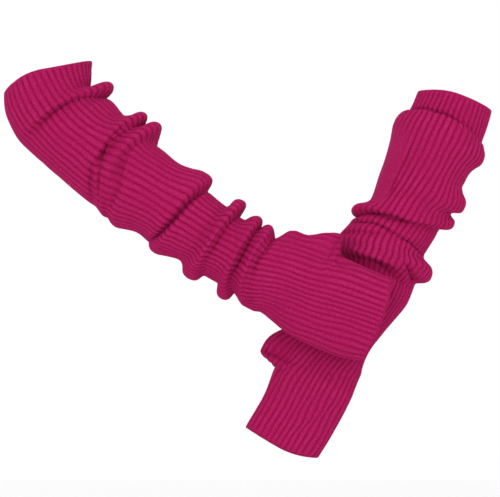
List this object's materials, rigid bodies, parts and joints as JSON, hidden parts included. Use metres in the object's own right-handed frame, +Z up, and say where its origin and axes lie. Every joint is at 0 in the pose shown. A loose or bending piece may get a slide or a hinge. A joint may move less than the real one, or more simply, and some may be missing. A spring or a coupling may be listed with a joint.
{
  "type": "pair of knitted arm warmers",
  "caption": "Pair of raspberry rib-knit fingerless arm warmers, worn pushed up in folds with one wrist crossed over the other.",
  "frame": {"origin": "centre of the right warmer's arm opening, where the arm holds it", "axes": "+X from the right arm opening across to the left warmer, +Z up, and -Y towards the viewer, who sees the backs of the hands"},
  "size_m": [0.4299, 0.1109, 0.3486],
  "materials": {
    "rib_knit": "matt"
  },
  "bodies": {
    "root": {"right_upper_sleeve": "rib_knit", "right_elbow_sleeve": "rib_knit", "right_forearm_sleeve": "rib_knit", "right_wrist_sleeve": "rib_knit", "right_hand_sleeve": "rib_knit", "left_upper_sleeve": "rib_knit", "left_forearm_sleeve": "rib_knit", "left_wrist_sleeve": "rib_knit", "left_hand_sleeve": "rib_knit"}
  },
  "joints": []
}
